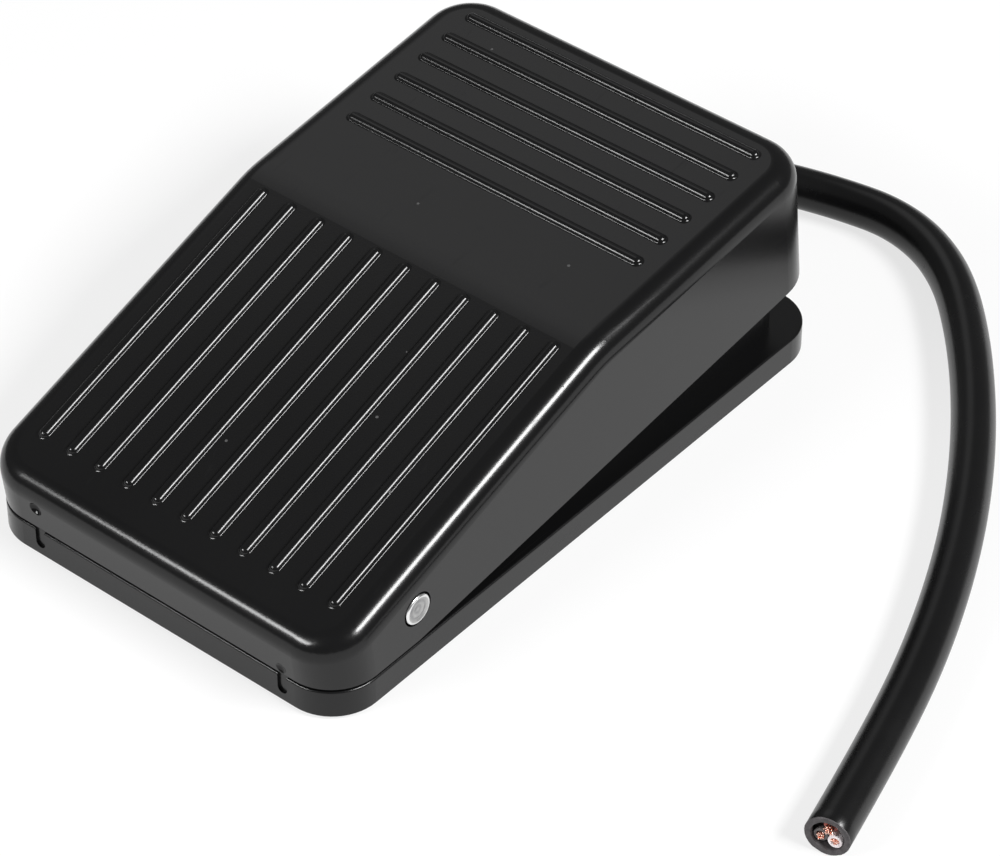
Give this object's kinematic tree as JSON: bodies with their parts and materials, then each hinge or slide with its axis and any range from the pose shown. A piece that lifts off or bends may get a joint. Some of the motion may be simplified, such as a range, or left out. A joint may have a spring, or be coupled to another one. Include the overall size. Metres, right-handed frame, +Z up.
{
  "type": "sewing machine pedal",
  "caption": "Black plastic foot switch: a ribbed treadle hinged at its low end over a flat base, with a snap switch, return springs and a short bare-ended cord.",
  "frame": {"origin": "on the floor under the middle of the body, without its cord", "axes": "+Z up, +Y from the low hinged end towards the raised end where the cord leaves, +X to the right of someone who stands at the low end and looks along +Y"},
  "size_m": [0.1258, 0.1317, 0.0355],
  "materials": {
    "pedal_plastic": "moulded black plastic, satin gloss",
    "base_plastic": "moulded black plastic, satin",
    "pin_steel": "bright steel, peened ends",
    "spring_steel": "bright spring steel",
    "switch_plastic": "dark thermoset",
    "plunger_plastic": "red moulded plastic",
    "terminal_brass": "stamped brass",
    "contact_silver": "silver contact rivet",
    "screw_zinc": "zinc plated",
    "sleeve_plastic": "pale nylon",
    "clamp_plastic": "black nylon",
    "rubber_black": "soft black rubber",
    "cord_jacket": "black flexible jacket, satin",
    "core_white": "white core insulation",
    "core_dark": "black core insulation",
    "core_red": "red core insulation"
  },
  "bodies": {
    "base": {"base_housing": "base_plastic", "pivot_pin": "pin_steel", "return_spring_left": "spring_steel", "return_spring_right": "spring_steel", "rubber_foot_1": "rubber_black", "rubber_foot_2": "rubber_black", "rubber_foot_3": "rubber_black", "rubber_foot_4": "rubber_black", "switch_case": "switch_plastic", "switch_lid": "switch_plastic", "lever_pin": "pin_steel", "terminal_common": "terminal_brass", "terminal_open": "terminal_brass", "terminal_closed": "terminal_brass", "contact_open": "contact_silver", "contact_closed": "contact_silver", "switch_screws": "screw_zinc", "sleeve_common": "sleeve_plastic", "sleeve_open": "sleeve_plastic", "sleeve_closed": "sleeve_plastic", "cord_clamp": "clamp_plastic", "clamp_screws": "screw_zinc", "cord_grommet": "rubber_black", "cord_jacket_inner": "cord_jacket", "wire_common": "core_white", "wire_open": "core_dark", "wire_closed": "core_red", "power_cord": "cord_jacket", "cut_core_1": "core_red", "cut_core_2": "core_white", "cut_core_3": "core_dark"},
    "pedal": {"pedal_cover": "pedal_plastic"},
    "lever": {"switch_lever": "spring_steel"},
    "plunger": {"switch_plunger": "plunger_plastic"},
    "blade": {"switch_blade": "terminal_brass", "moving_contact": "contact_silver", "snap_spring": "terminal_brass"}
  },
  "joints": [
    {"name": "pedal_hinge", "type": "hinge", "parent": "base", "child": "pedal", "pos_m": [0, -0.0355, 0.0109], "axis": [-1, 0, 0], "range_deg": [0, 6.4], "stiffness_Nm_per_rad": 3.7, "springref_deg": -4.58, "deforming": ["return_spring_left", "return_spring_right"]},
    {"name": "lever_hinge", "type": "hinge", "parent": "base", "child": "lever", "pos_m": [0, 0.0285, 0.02], "axis": [1, 0, 0], "range_deg": [0, 11.9]},
    {"name": "plunger_slide", "type": "slide", "parent": "base", "child": "plunger", "axis": [0, 0, -1], "range_m": [0, 0.00186]},
    {"name": "blade_swing", "type": "hinge", "parent": "base", "child": "blade", "pos_m": [0, 0.0086, 0.01325], "axis": [-1, 0, 0], "range_deg": [0, 7.95]}
  ],
  "couplings": [
    {"joint": "lever_hinge", "follows": "pedal_hinge", "ratio": 1.8547},
    {"joint": "plunger_slide", "follows": "pedal_hinge", "m_per_rad": 0.016562},
    {"joint": "blade_swing", "follows": "pedal_hinge", "ratio": 1.2344}
  ]
}
